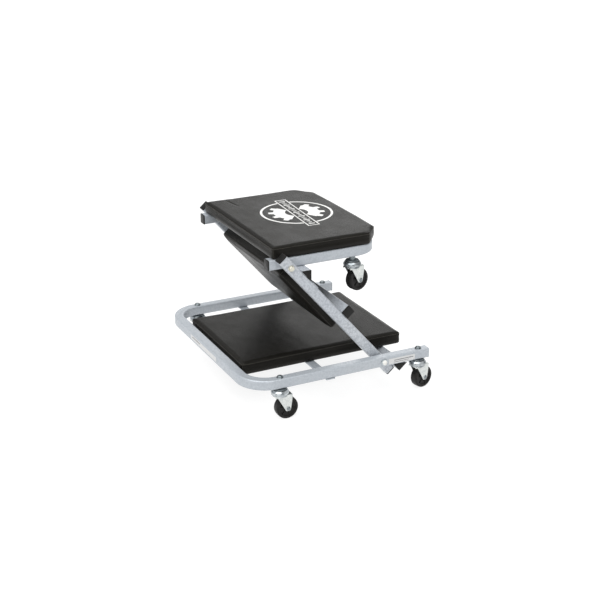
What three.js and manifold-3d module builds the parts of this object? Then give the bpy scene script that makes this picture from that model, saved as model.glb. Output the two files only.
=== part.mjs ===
// A folding mechanics creeper: three padded frames joined by two fold pivots, on six swivel casters.
// Folded, it is a low rolling seat; opened out flat, it is a creeper to lie on.
// Units are millimetres, +Z is up, +X runs towards the open ends of the base rails.
// The origin is on the floor, in the middle of the folded creeper's box.

import * as THREE from "three";
import { mergeVertices } from "three/addons/utils/BufferGeometryUtils.js";
import Module from "manifold-3d";

const wasm = await Module();
wasm.setup();

// ---------------------------------------------------------------- driving dimensions

const GAP = 0.3; // between pieces that touch
const TUBE = 25.4; // side of every square steel tube
const WALL = 1.8;
const TUBE_CORNER = 2.8;
const HALF = TUBE / 2;

const CASTER_TOP = 84; // floor to the top of a caster's fixed race
const WHEEL_R = 29;
const TRAIL = 16; // caster axle behind its swivel axis
const FORK_LEG_Y = [12.4, 14.6]; // inner and outer face of a fork leg
const BASE_RAIL_Z = CASTER_TOP + GAP + HALF; // floor to the middle of the base rails

const BASE = { halfWidth: 276, length: 500, bend: 79, stemX: [87, 476], pivotX: 370.5 };
const ARM = { outerY: 247.6, pivotSpan: 372, tail: 55, nose: 30 };
const SEAT = { halfWidth: 212, left: -40, right: 267, bend: 66, stemX: 190.5, standOff: 9 };
const REST_ANGLE = 131; // degrees from +X to the arms in the seat position

const STRAP = { thick: 3, baseX: [208, 232], middleX: [270, 290], middleHalf: 236 };
const CROSSBAR_X = [152.6, 178];
const ANGLE_BAR = { near: 31.2, far: 54, thick: 3, drop: 38.8, plugReach: 28.7, plugDrop: 42 };

const BOARD = { thick: 9, inset: 12 };
const BASE_PAD = { x: [30, 482], halfWidth: 167, bottom: -HALF, top: 20.5 };
const MIDDLE_PAD = { x: [115.5, 339], halfWidth: 176, bottom: -HALF, top: 26 };
const SEAT_PAD = { x: [-31, 276], halfWidth: 211, bottom: HALF + GAP, top: 43, clip: [42, 48] };
const PAD_EDGE = 4; // rounding of a pad's upper and lower edges

const BOLT_R = 5;
const BOLT_HOLE_R = 5.4;
const CAP = { flange: 2, insert: 9 };

// Each caster: name, frame it hangs from, side of the frame, rest swivel in degrees from +X.
const BASE_CASTERS = [
  { name: "caster_rear_near", x: BASE.stemX[0], side: -1, swivel: 0 },
  { name: "caster_rear_far", x: BASE.stemX[0], side: 1, swivel: 9 },
  { name: "caster_front_near", x: BASE.stemX[1], side: -1, swivel: 14 },
  { name: "caster_front_far", x: BASE.stemX[1], side: 1, swivel: 0 },
];
const SEAT_CASTERS = [
  { name: "caster_seat_near", x: SEAT.stemX, side: -1, swivel: 12 },
  { name: "caster_seat_far", x: SEAT.stemX, side: 1, swivel: -8 },
];

// The box of the folded creeper runs from the base tube's bend to the furthest front wheel.
const CENTRE_X = (BASE.stemX[1] + TRAIL + WHEEL_R) / 2;

const rad = THREE.MathUtils.degToRad;

// ---------------------------------------------------------------- materials

const finish = (color, roughness, metalness) =>
  new THREE.MeshStandardMaterial({ color, roughness, metalness });

const MATERIAL = {
  frame: finish(0xb4b8bd, 0.42, 0.55),
  zinc: finish(0xc9cccb, 0.3, 0.9),
  vinyl: finish(0x1d1c1b, 0.5, 0),
  plywood: finish(0x1f1d1b, 0.85, 0),
  plastic: finish(0x151516, 0.45, 0),
  greyPlastic: finish(0x9a9fa4, 0.5, 0),
  wheel: finish(0x17181a, 0.5, 0),
};

// ---------------------------------------------------------------- solids

function toSolid(geometry) {
  const bare = geometry.clone();
  bare.deleteAttribute("normal");
  bare.deleteAttribute("uv");
  const merged = mergeVertices(bare, 1e-4);
  return new wasm.Manifold(
    new wasm.Mesh({
      numProp: 3,
      vertProperties: merged.attributes.position.array,
      triVerts: new Uint32Array(merged.index.array),
    }),
  );
}

function toGeometry(solid) {
  const mesh = solid.getMesh();
  const geometry = new THREE.BufferGeometry();
  geometry.setAttribute("position", new THREE.BufferAttribute(mesh.vertProperties, 3));
  geometry.setIndex(new THREE.BufferAttribute(mesh.triVerts, 1));
  return geometry;
}

const cut = (body, ...tools) =>
  toGeometry(tools.reduce((solid, tool) => solid.subtract(toSolid(tool)), toSolid(body)));

const join = (body, ...others) =>
  toGeometry(others.reduce((solid, other) => solid.add(toSolid(other)), toSolid(body)));

function addMesh(group, name, geometry, material) {
  const mesh = new THREE.Mesh(geometry, material);
  mesh.name = name;
  group.add(mesh);
  return mesh;
}

// A box given by its lowest and highest corners.
function block([x0, x1], [y0, y1], [z0, z1]) {
  const box = new THREE.BoxGeometry(x1 - x0, y1 - y0, z1 - z0);
  return box.translate((x0 + x1) / 2, (y0 + y1) / 2, (z0 + z1) / 2);
}

// A cylinder along Y or Z, centred on a point.
function rod(axis, radius, length, x, y, z, sides = 10) {
  const cylinder = new THREE.CylinderGeometry(radius, radius, length, sides);
  if (axis === "z") cylinder.rotateX(Math.PI / 2);
  return cylinder.translate(x, y, z);
}

// A solid turned about Z from (radius, height) points, listed upwards from the axis and back to it.
function turned(points, sides) {
  const profile = points.map(([r, z]) => new THREE.Vector2(r, z));
  return new THREE.LatheGeometry(profile, sides).rotateX(Math.PI / 2);
}

// A flat outline in the XZ plane, given thickness along Y.
function plateXZ(shape, y0, y1) {
  const plate = new THREE.ExtrudeGeometry(shape, {
    depth: y1 - y0,
    bevelEnabled: false,
    curveSegments: 5,
  });
  return plate.rotateX(Math.PI / 2).translate(0, y1, 0);
}

function roundedSquare(side, radius) {
  const s = side / 2;
  const c = s - radius;
  const shape = new THREE.Shape();
  shape.moveTo(s, -c);
  shape.absarc(c, c, radius, 0, Math.PI / 2);
  shape.absarc(-c, c, radius, Math.PI / 2, Math.PI);
  shape.absarc(-c, -c, radius, Math.PI, 1.5 * Math.PI);
  shape.absarc(c, -c, radius, 1.5 * Math.PI, 2 * Math.PI);
  return shape;
}

// A square bar along X or Y from one place to another, its section centred on the other two axes.
function squareBar(axis, from, to, side, corner) {
  const bar = new THREE.ExtrudeGeometry(roundedSquare(side, corner), {
    depth: to - from,
    bevelEnabled: false,
    curveSegments: 2,
  });
  bar.translate(0, 0, from);
  return axis === "x" ? bar.rotateY(Math.PI / 2) : bar.rotateX(-Math.PI / 2);
}

// Straight square tube, open at both ends.
function squareTube(axis, from, to) {
  const core = squareBar(axis, from - 1, to + 1, TUBE - 2 * WALL, 1.2);
  return cut(squareBar(axis, from, to, TUBE, TUBE_CORNER), core);
}

// Plan outline of a U of bent tube: its cross tube's outer face at x = 0, its rails along +X.
function bentOutline(halfWidth, length, bend, inset) {
  const outer = halfWidth - inset;
  const inner = halfWidth - TUBE + inset;
  const centreX = bend;
  const centreY = halfWidth - bend;
  const outerR = bend - inset;
  const innerR = bend - TUBE + inset;
  const shape = new THREE.Shape();
  shape.moveTo(length, -outer);
  shape.lineTo(length, -inner);
  shape.absarc(centreX, -centreY, innerR, 1.5 * Math.PI, Math.PI, true);
  shape.absarc(centreX, centreY, innerR, Math.PI, Math.PI / 2, true);
  shape.lineTo(length, inner);
  shape.lineTo(length, outer);
  shape.absarc(centreX, centreY, outerR, Math.PI / 2, Math.PI);
  shape.absarc(centreX, -centreY, outerR, Math.PI, 1.5 * Math.PI);
  return shape;
}

// One tube bent into a U, hollow and open at its two ends.
function bentTube(halfWidth, length, bend) {
  const overrun = 20;
  const round = TUBE_CORNER;
  const skin = new THREE.ExtrudeGeometry(bentOutline(halfWidth, length + overrun, bend, 0), {
    depth: TUBE - 2 * round,
    bevelThickness: round,
    bevelSize: round,
    bevelOffset: -round,
    bevelSegments: 1,
    curveSegments: 6,
  }).translate(0, 0, round - HALF);
  const bore = new THREE.ExtrudeGeometry(bentOutline(halfWidth, length + 2 * overrun, bend, WALL), {
    depth: TUBE - 2 * WALL,
    bevelEnabled: false,
    curveSegments: 6,
  }).translate(0, 0, WALL - HALF);
  const reach = halfWidth + overrun;
  const beyond = block([length, length + 3 * overrun], [-reach, reach], [-TUBE, TUBE]);
  return cut(skin, bore, beyond);
}

// ---------------------------------------------------------------- small hardware

// A black plug for an open tube end: a flange, and a block pushed into the tube.
// direction is +1 or -1 along the axis, at the tube's end.
function tubeCap(axis, end, direction) {
  const face = end + direction * GAP;
  const outer = face + direction * CAP.flange;
  const inner = face - direction * CAP.insert;
  const ordered = (a, b) => [Math.min(a, b), Math.max(a, b)];
  const flange = squareBar(axis, ...ordered(face, outer), TUBE, TUBE_CORNER);
  const insert = squareBar(axis, ...ordered(inner, face + direction), TUBE - 2 * WALL - 2 * GAP, 1.5);
  return join(flange, insert);
}

const ringY = (side, fromY, toY, radius) =>
  rod("y", radius, toY - fromY, 0, (side * (fromY + toY)) / 2, 0);

// A pivot bolt with its nut, along Y: head outside on the given side, nut at innerY.
function pivotBolt(side, headY, innerY, headR, headSides) {
  const shank = rod("y", BOLT_R, headY + 1 - innerY, 0, (side * (headY + 1 + innerY)) / 2, 0);
  const flange = rod("y", 9, 1.8, 0, side * (headY + 0.9), 0);
  const head = rod("y", headR, 6, 0, side * (headY + 4.5), 0, headSides);
  const nut = rod("y", 8.2, 6.2, 0, side * (innerY + 3.4), 0, 6);
  return join(shank, flange, head, nut);
}

function spacer(side, fromY, toY, radius) {
  return cut(ringY(side, fromY, toY, radius), ringY(side, fromY - 1, toY + 1, BOLT_HOLE_R));
}

// An angle bar welded across a frame, next to its pivot. Its two edges meet the neighbouring
// frame's tube when the creeper is folded, and its flat leg does when the creeper is open.
// direction is the side of the pivot it lies on, along the frame's own X.
function stopAngleBar(direction, halfLength) {
  const { near, far, thick, drop } = ANGLE_BAR;
  const top = -HALF - GAP;
  const shape = new THREE.Shape();
  shape.moveTo(direction * near, top);
  shape.lineTo(direction * far, top);
  shape.lineTo(direction * far, -drop);
  shape.lineTo(direction * (far - thick), -drop);
  shape.lineTo(direction * (far - thick), top - thick);
  shape.lineTo(direction * near, top - thick);
  shape.closePath();
  return plateXZ(shape, -halfLength, halfLength);
}

// The three-cornered plug that closes the angle bar's end.
function stopAnglePlug(direction, side, endY) {
  const { far, thick, plugReach, plugDrop } = ANGLE_BAR;
  const top = -HALF - GAP;
  const outline = (inset, shrink) => {
    const shape = new THREE.Shape();
    const slope = (plugDrop + top) / (far - plugReach);
    shape.moveTo(direction * (plugReach + inset / slope + inset + shrink), top - inset);
    shape.lineTo(direction * (far - inset), top - inset);
    shape.lineTo(direction * (far - inset), -plugDrop + inset * (1 + slope) + shrink);
    shape.closePath();
    return shape;
  };
  const between = (a, b) => [Math.min(side * a, side * b), Math.max(side * a, side * b)];
  const face = plateXZ(outline(0, 0), ...between(endY + GAP, endY + GAP + 2.4));
  const insert = plateXZ(outline(thick + GAP, 1), ...between(endY - 14, endY + 1));
  return join(face, insert);
}

// ---------------------------------------------------------------- pads

function padOutline({ x, halfWidth, clip }, inset) {
  const left = x[0] + inset;
  const right = x[1] - inset;
  const edge = halfWidth - inset;
  const corner = 5;
  const shape = new THREE.Shape();
  shape.moveTo(left + corner, -edge);
  if (clip) {
    shape.lineTo(right - clip[0], -edge);
    shape.lineTo(right, -edge + clip[1]);
    shape.lineTo(right, edge - clip[1]);
    shape.lineTo(right - clip[0], edge);
  } else {
    shape.absarc(right - corner, -edge + corner, corner, 1.5 * Math.PI, 2 * Math.PI);
    shape.absarc(right - corner, edge - corner, corner, 0, Math.PI / 2);
  }
  shape.absarc(left + corner, edge - corner, corner, Math.PI / 2, Math.PI);
  shape.absarc(left + corner, -edge + corner, corner, Math.PI, 1.5 * Math.PI);
  return shape;
}

function padBoard(pad) {
  const board = new THREE.ExtrudeGeometry(padOutline(pad, BOARD.inset), {
    depth: BOARD.thick,
    bevelEnabled: false,
    curveSegments: 3,
  });
  return board.translate(0, 0, pad.bottom);
}

// Foam and cover in one soft solid, with a pocket underneath that the board lies in.
function padCushion(pad) {
  const soft = new THREE.ExtrudeGeometry(padOutline(pad, 0), {
    depth: pad.top - pad.bottom - 2 * PAD_EDGE,
    bevelThickness: PAD_EDGE,
    bevelSize: PAD_EDGE,
    bevelOffset: -PAD_EDGE,
    bevelSegments: 2,
    curveSegments: 3,
  }).translate(0, 0, pad.bottom + PAD_EDGE);
  const pocket = new THREE.ExtrudeGeometry(padOutline(pad, BOARD.inset - GAP), {
    depth: BOARD.thick + GAP + 5,
    bevelEnabled: false,
    curveSegments: 3,
  }).translate(0, 0, pad.bottom - 5);
  return cut(soft, pocket);
}

function addPad(group, name, pad) {
  addMesh(group, name + "_board", padBoard(pad), MATERIAL.plywood);
  addMesh(group, name + "_cushion", padCushion(pad), MATERIAL.vinyl);
}

// ---------------------------------------------------------------- casters

// Stem and fixed upper race in one turned piece; with a nut it passes right through the tube.
function casterStem(standOff, hasNut) {
  const tubeBottom = CASTER_TOP + standOff;
  const tubeTop = tubeBottom + TUBE;
  const below = [[0, 59.4], [7, 60], [7, 62.4], [4.6, 62.4], [4.6, 79.5], [17, 79.8], [17, 82.2]];
  const neck = [[12, CASTER_TOP], [BOLT_R, CASTER_TOP]];
  const nut = [[BOLT_R, tubeTop + GAP], [8.4, tubeTop + GAP], [8.4, tubeTop + 2]];
  const dome = [[6.8, tubeTop + 2.2], [6.6, tubeTop + 4.4], [3.2, tubeTop + 5.8], [0, tubeTop + 6]];
  const blindEnd = [[BOLT_R, tubeBottom + 18], [0, tubeBottom + 18]];
  const above = hasNut ? [...nut, ...dome] : blindEnd;
  return turned([...below, ...neck, ...above], 10);
}

// Pressed-steel fork: a ball-race drum, the crown under it, and a tapering leg each side of the wheel.
function casterFork() {
  const drum = turned(
    [[5.2, 62.8], [19.4, 62.8], [21.4, 68], [21.4, 75], [18.6, 79.2], [5.2, 79.2], [5.2, 62.8]],
    14,
  );
  const [inner, outer] = FORK_LEG_Y;
  const crown = block([-17, 27.2], [-outer, outer], [62.8, 65]);
  const leg = new THREE.Shape();
  leg.moveTo(-17, 65);
  leg.lineTo(-11, 62.4);
  leg.lineTo(-5, 56);
  leg.lineTo(2.2, 42.6);
  leg.absarc(TRAIL, WHEEL_R, 7.8, rad(190), rad(360));
  leg.lineTo(27.2, 46);
  leg.lineTo(27.2, 65);
  leg.closePath();
  const legs = [plateXZ(leg, inner, outer), plateXZ(leg, -outer, -inner)];
  const axleHole = rod("y", 4.2, 40, TRAIL, 0, WHEEL_R, 8);
  const stemHole = rod("z", 5.2, 40, 0, 0, 70);
  return cut(join(drum, crown, ...legs), axleHole, stemHole);
}

// The tread is a ring of flats whose distance to the axle is the wheel's radius, one of them down.
function casterWheel() {
  const sides = 16;
  const half = 11;
  const hub = 12;
  const tread = WHEEL_R / Math.cos(Math.PI / sides);
  const wheel = turned(
    [
      [4.4, -hub], [8.5, -hub], [8.5, -half], [27, -half], [tread, -8.5],
      [tread, 8.5], [27, half], [8.5, half], [8.5, hub], [4.4, hub], [4.4, -hub],
    ],
    sides,
  );
  wheel.rotateZ(Math.PI / sides);
  return wheel.rotateX(Math.PI / 2).translate(TRAIL, 0, WHEEL_R);
}

function casterAxle() {
  const under = FORK_LEG_Y[1] + GAP;
  const profile = [[3.8, under], [5.2, under], [5.2, under + 1.3], [0, under + 2]];
  const axle = turned([...profile.map(([r, y]) => [r, -y]).reverse(), ...profile], 8);
  return axle.rotateX(Math.PI / 2).translate(TRAIL, 0, WHEEL_R);
}

function addCaster(frame, { name, x, side, swivel }, y, standOff, hasNut) {
  const caster = new THREE.Group();
  caster.position.set(x, side * y, -HALF - standOff - CASTER_TOP);
  addMesh(caster, name + "_stem", casterStem(standOff, hasNut), MATERIAL.zinc);
  const turning = new THREE.Group();
  turning.rotation.z = rad(swivel);
  addMesh(turning, name + "_fork", casterFork(), MATERIAL.zinc);
  addMesh(turning, name + "_axle", casterAxle(), MATERIAL.zinc);
  addMesh(turning, name + "_wheel", casterWheel(), MATERIAL.wheel);
  caster.add(turning);
  frame.add(caster);
}

// ---------------------------------------------------------------- the three frames

const SIDES = [["near", -1], ["far", 1]];

// The base: one bent tube, open towards +X, with its pad lying between the rails.
function baseFrame() {
  const group = new THREE.Group();
  const railY = BASE.halfWidth - HALF;
  const holes = [-1, 1].flatMap((side) => [
    rod("y", BOLT_HOLE_R, TUBE + 4, BASE.pivotX, side * railY, 0),
    ...BASE.stemX.map((x) => rod("z", BOLT_HOLE_R, TUBE + 4, x, side * railY, 0)),
  ]);
  const tube = bentTube(BASE.halfWidth, BASE.length, BASE.bend);
  addMesh(group, "base_frame_tube", cut(tube, ...holes), MATERIAL.frame);

  const strapTop = -HALF - GAP;
  const strap = block(STRAP.baseX, [-BASE.halfWidth, BASE.halfWidth], [strapTop - STRAP.thick, strapTop]);
  addMesh(group, "base_pad_strap", strap, MATERIAL.frame);
  addPad(group, "base_pad", BASE_PAD);

  for (const [label, side] of SIDES) {
    const plug = tubeCap("x", BASE.length, 1);
    const cap = addMesh(group, `base_rail_cap_${label}`, plug, MATERIAL.greyPlastic);
    cap.position.y = side * railY;
    const headY = BASE.halfWidth + GAP;
    const nutY = ARM.outerY - TUBE - 7.2;
    const washer = ringY(side, ARM.outerY + GAP, BASE.halfWidth - TUBE - GAP, 9);
    const bolt = join(pivotBolt(side, headY, nutY, 6.4, 12), washer);
    addMesh(group, `lower_pivot_bolt_${label}`, bolt, MATERIAL.zinc).position.x = BASE.pivotX;
  }
  for (const caster of BASE_CASTERS) addCaster(group, caster, railY, GAP, true);
  return group;
}

// The middle frame, drawn open and flat: lower pivot at x = 0, upper pivot at x = ARM.pivotSpan.
function middleFrame() {
  const group = new THREE.Group();
  const armY = ARM.outerY - HALF;
  for (const [label, side] of SIDES) {
    const tube = squareTube("x", -ARM.tail, ARM.pivotSpan + ARM.nose);
    const holes = [0, ARM.pivotSpan].map((x) => rod("y", BOLT_HOLE_R, TUBE + 4, x, 0, 0));
    addMesh(group, `arm_${label}`, cut(tube, ...holes), MATERIAL.frame).position.y = side * armY;
    const lower = tubeCap("x", -ARM.tail, -1);
    addMesh(group, `arm_lower_cap_${label}`, lower, MATERIAL.plastic).position.y = side * armY;
    const upper = tubeCap("x", ARM.pivotSpan + ARM.nose, 1);
    addMesh(group, `arm_upper_cap_${label}`, upper, MATERIAL.plastic).position.y = side * armY;
  }

  const stopEnd = BASE.halfWidth - 2.4 - GAP;
  addMesh(group, "middle_stop_angle", stopAngleBar(-1, stopEnd), MATERIAL.frame);
  const barEnd = ARM.outerY - CAP.flange - GAP;
  const bar = addMesh(group, "middle_crossbar", squareTube("y", -barEnd, barEnd), MATERIAL.frame);
  const barX = (CROSSBAR_X[0] + CROSSBAR_X[1]) / 2;
  const barZ = -TUBE - GAP;
  bar.position.set(barX, 0, barZ);
  const strapTop = -HALF - GAP;
  const { middleX, middleHalf, thick } = STRAP;
  const strap = block(middleX, [-middleHalf, middleHalf], [strapTop - thick, strapTop]);
  addMesh(group, "middle_pad_strap", strap, MATERIAL.frame);
  addPad(group, "middle_pad", MIDDLE_PAD);

  for (const [label, side] of SIDES) {
    addMesh(group, `middle_stop_plug_${label}`, stopAnglePlug(-1, side, stopEnd), MATERIAL.plastic);
    const cap = tubeCap("y", side * barEnd, side);
    addMesh(group, `middle_crossbar_cap_${label}`, cap, MATERIAL.plastic).position.set(barX, 0, barZ);
    const nutY = SEAT.halfWidth - TUBE - 7.2;
    const bolt = pivotBolt(side, ARM.outerY + GAP, nutY, 8.2, 6);
    addMesh(group, `upper_pivot_bolt_${label}`, bolt, MATERIAL.zinc).position.x = ARM.pivotSpan;
    const sleeve = spacer(side, SEAT.halfWidth + GAP, ARM.outerY - TUBE - GAP, 8);
    addMesh(group, `upper_pivot_spacer_${label}`, sleeve, MATERIAL.zinc).position.x = ARM.pivotSpan;
  }
  return group;
}

// The seat: one bent tube, open towards -X, its pivot at x = 0, with the pad lying on the rails.
function seatFrame() {
  const group = new THREE.Group();
  const railY = SEAT.halfWidth - HALF;
  const holes = [-1, 1].flatMap((side) => [
    rod("y", BOLT_HOLE_R, TUBE + 4, 0, side * railY, 0),
    rod("z", BOLT_HOLE_R, HALF, SEAT.stemX, side * railY, -HALF),
  ]);
  const tube = bentTube(SEAT.halfWidth, SEAT.right - SEAT.left, SEAT.bend);
  tube.rotateZ(Math.PI).translate(SEAT.right, 0, 0);
  addMesh(group, "seat_frame_tube", cut(tube, ...holes), MATERIAL.frame);

  const stopEnd = ARM.outerY - 2.4 - GAP;
  addMesh(group, "seat_stop_angle", stopAngleBar(1, stopEnd), MATERIAL.frame);
  addPad(group, "seat_pad", SEAT_PAD);

  for (const [label, side] of SIDES) {
    addMesh(group, `seat_stop_plug_${label}`, stopAnglePlug(1, side, stopEnd), MATERIAL.plastic);
    const cap = addMesh(group, `seat_rail_cap_${label}`, tubeCap("x", SEAT.left, -1), MATERIAL.plastic);
    cap.position.y = side * railY;
  }
  for (const caster of SEAT_CASTERS) addCaster(group, caster, railY, SEAT.standOff, false);
  return group;
}

// ---------------------------------------------------------------- assembly in the seat position

const creeper = new THREE.Group();

const base = baseFrame();
base.position.set(-CENTRE_X, 0, BASE_RAIL_Z);
creeper.add(base);

const middle = middleFrame();
middle.position.set(BASE.pivotX - CENTRE_X, 0, BASE_RAIL_Z);
middle.rotation.y = -rad(REST_ANGLE);
creeper.add(middle);

const seat = seatFrame();
seat.position.set(
  middle.position.x + ARM.pivotSpan * Math.cos(rad(REST_ANGLE)),
  0,
  BASE_RAIL_Z + ARM.pivotSpan * Math.sin(rad(REST_ANGLE)),
);
creeper.add(seat);

export default creeper;
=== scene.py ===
"""The looks of a folding mechanics creeper, in its seat position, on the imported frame.

Everything is in metres, in the frame of the CAD model: +Z up, +X towards the open rail ends.
"""

import math

import bmesh
import bpy
from mathutils import Matrix, Vector, noise
from mathutils.bvhtree import BVHTree


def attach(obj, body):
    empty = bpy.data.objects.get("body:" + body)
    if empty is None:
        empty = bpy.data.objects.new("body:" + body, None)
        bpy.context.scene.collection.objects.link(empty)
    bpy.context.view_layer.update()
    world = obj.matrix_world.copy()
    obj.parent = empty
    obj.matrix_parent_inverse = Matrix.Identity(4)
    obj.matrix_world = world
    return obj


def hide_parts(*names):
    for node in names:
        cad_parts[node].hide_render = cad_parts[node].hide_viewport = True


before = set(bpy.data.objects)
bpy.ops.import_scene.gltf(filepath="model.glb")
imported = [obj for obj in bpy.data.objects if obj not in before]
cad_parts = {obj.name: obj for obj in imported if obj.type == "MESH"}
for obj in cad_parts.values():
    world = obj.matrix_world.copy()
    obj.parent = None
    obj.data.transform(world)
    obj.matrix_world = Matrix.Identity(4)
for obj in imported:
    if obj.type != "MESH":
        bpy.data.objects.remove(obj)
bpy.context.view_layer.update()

# ---------------------------------------------------------------- driving dimensions

MM = 0.001
GAP = 0.3 * MM
TUBE = 25.4 * MM
HALF = TUBE / 2
TUBE_CORNER = 4.2 * MM
BEND_HOLLOW = 0.7 * MM  # how far a bent tube's walls are drawn in at the middle of a bend

BASE_RAIL_Z = 97.0 * MM
BASE = {"half": 276 * MM, "length": 500 * MM, "bend": 79 * MM}
SEAT = {"half": 212 * MM, "left": -40 * MM, "right": 267 * MM, "bend": 66 * MM}
ARM = {"outer": 247.6 * MM, "span": 372 * MM, "tail": 55 * MM, "nose": 30 * MM}
PIVOT_X = 370.5 * MM
REST_ANGLE = math.radians(131)
CENTRE_X = 260.5 * MM

WHEEL_R = 29 * MM
TRAIL = 16 * MM
CASTER_TOP = 84 * MM
SEAT_STAND_OFF = 9 * MM

BOARD_INSET = 12 * MM
BOARD_THICK = 9 * MM
PADS = {
    "base_pad": {"x": (30, 482), "half": 167, "z": (-12.7, 20.5), "clip": None, "swell": 1.4},
    "middle_pad": {"x": (115.5, 339), "half": 176, "z": (-12.7, 26.0), "clip": None, "swell": 2.8},
    "seat_pad": {"x": (-31, 276), "half": 211, "z": (13.0, 43.0), "clip": (42, 48), "swell": 1.6},
}
SEAM_DROP = 3.8 * MM  # how far the seam runs below a pad's top
COVER_VOXEL = 3.4 * MM  # spacing of a cover's cloth points
SWELL_FRAMES = 14
CREASE = (Vector((22, 196)) * MM, Vector((32, 128)) * MM)  # across the seat pad's far corner
PAD_BODY = {"base_pad": "base", "middle_pad": "middle", "seat_pad": "seat"}

# Places along each frame of the cross pieces' two edges, where weld beads run.
STRAP_EDGES = (207.6 * MM, 232.4 * MM)
CROSSBAR_X = 165.3 * MM
CROSSBAR_EDGES = (152.2 * MM, 178.4 * MM)
MIDDLE_STRAP_EDGES = (269.6 * MM, 290.4 * MM)
ARM_STOP_EDGES = (-31.0 * MM, -54.2 * MM)
SEAT_STOP_EDGES = (31.0 * MM, 54.2 * MM)

EMBLEM_PLACE = (144 * MM, 15 * MM, 0)
EMBLEM_TURN = math.radians(-93.5)
CAMERA_PLACE = (-1.3284, -2.6928, 1.3729)
CAMERA_TARGET = (0.0240, 0, 0.1711)
CAMERA_LENS = 72.86

SIDES = (("near", -1), ("far", 1))

# Each caster: body it hangs from, its stem's place in that frame, its rest swivel in degrees.
CASTERS = {
    "caster_rear_near": ("base", 87 * MM, -263.3 * MM, 0),
    "caster_rear_far": ("base", 87 * MM, 263.3 * MM, 9),
    "caster_front_near": ("base", 476 * MM, -263.3 * MM, 14),
    "caster_front_far": ("base", 476 * MM, 263.3 * MM, 0),
    "caster_seat_near": ("seat", 190.5 * MM, -199.3 * MM, 12),
    "caster_seat_far": ("seat", 190.5 * MM, 199.3 * MM, -8),
}

UPPER_PIVOT = Vector(
    (
        PIVOT_X - CENTRE_X + ARM["span"] * math.cos(REST_ANGLE),
        0,
        BASE_RAIL_Z + ARM["span"] * math.sin(REST_ANGLE),
    )
)
PLACE = {
    "base": Matrix.Translation((-CENTRE_X, 0, BASE_RAIL_Z)),
    "middle": Matrix.Translation((PIVOT_X - CENTRE_X, 0, BASE_RAIL_Z))
    @ Matrix.Rotation(-REST_ANGLE, 4, "Y"),
    "seat": Matrix.Translation(UPPER_PIVOT),
}

# ---------------------------------------------------------------- materials


class Nodes:
    """A small helper that adds and links shader nodes."""

    def __init__(self, name):
        self.material = bpy.data.materials.new(name)
        self.material.use_nodes = True
        self.tree = self.material.node_tree
        self.shader = self.tree.nodes["Principled BSDF"]
        self.coordinates = self.add("ShaderNodeTexCoord").outputs["Object"]

    def add(self, kind, **settings):
        node = self.tree.nodes.new(kind)
        for key, value in settings.items():
            setattr(node, key, value)
        return node

    def link(self, source, target):
        self.tree.links.new(source, target)

    def stretched(self, scale):
        mapping = self.add("ShaderNodeMapping")
        mapping.inputs["Scale"].default_value = scale
        self.link(self.coordinates, mapping.inputs["Vector"])
        return mapping.outputs["Vector"]

    def noise(self, scale, detail=3.0, roughness=0.55, where=None):
        node = self.add("ShaderNodeTexNoise")
        node.inputs["Scale"].default_value = scale
        node.inputs["Detail"].default_value = detail
        node.inputs["Roughness"].default_value = roughness
        self.link(where or self.coordinates, node.inputs["Vector"])
        return node.outputs["Fac"]

    def cells(self, scale, feature="F1", where=None):
        node = self.add("ShaderNodeTexVoronoi", feature=feature)
        node.inputs["Scale"].default_value = scale
        self.link(where or self.coordinates, node.inputs["Vector"])
        return node.outputs["Distance"]

    def ramp(self, source, stops):
        node = self.add("ShaderNodeValToRGB")
        elements = node.color_ramp.elements
        while len(elements) < len(stops):
            elements.new(0.5)
        for element, (place, colour) in zip(elements, stops):
            element.position = place
            value = colour if isinstance(colour, tuple) else (colour, colour, colour)
            element.color = (*value, 1.0)
        self.link(source, node.inputs["Fac"])
        return node.outputs["Color"]

    def mix(self, factor, first, second, blend="MIX"):
        node = self.add("ShaderNodeMix", data_type="RGBA", blend_type=blend)
        for socket, value in ((0, factor), (6, first), (7, second)):
            if isinstance(value, tuple):
                node.inputs[socket].default_value = (*value, 1.0)
            elif isinstance(value, float):
                node.inputs[socket].default_value = value
            else:
                self.link(value, node.inputs[socket])
        return node.outputs[2]

    def bump(self, height, distance, strength=1.0, normal=None):
        node = self.add("ShaderNodeBump")
        node.inputs["Distance"].default_value = distance
        node.inputs["Strength"].default_value = strength
        self.link(height, node.inputs["Height"])
        if normal:
            self.link(normal, node.inputs["Normal"])
        return node.outputs["Normal"]

    def finish(self, colour, roughness, normal, **constants):
        self.link(colour, self.shader.inputs["Base Color"])
        self.link(roughness, self.shader.inputs["Roughness"])
        if normal:
            self.link(normal, self.shader.inputs["Normal"])
        for socket, value in constants.items():
            self.shader.inputs[socket.replace("_", " ")].default_value = value
        return self.material


def powder_coat(name, light, dark, hammer):
    """Silver-grey powder coat. hammer is the depth of its hammered dimples, in metres."""
    n = Nodes(name)
    dimples = n.cells(230, "SMOOTH_F1")
    fine = n.noise(900, 2.0)
    broad = n.noise(9, 2.0)
    mottled = n.mix(n.ramp(dimples, [(0.15, 0.0), (0.75, 1.0)]), light, dark)
    speckled = n.mix(n.ramp(fine, [(0.35, 0.0), (0.7, 0.35)]), mottled, light)
    tint = n.ramp(broad, [(0.3, (0.94, 0.95, 0.97)), (0.7, (1.0, 1.0, 1.0))])
    colour = n.mix(1.0, speckled, tint, "MULTIPLY")
    normal = n.bump(dimples, hammer, 0.6)
    normal = n.bump(fine, 0.12 * MM, 0.5, normal)
    rough = n.ramp(dimples, [(0.1, 0.34), (0.8, 0.5)])
    return n.finish(colour, rough, normal, Metallic=0.25, Coat_Weight=0.12, Coat_Roughness=0.2)


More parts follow.
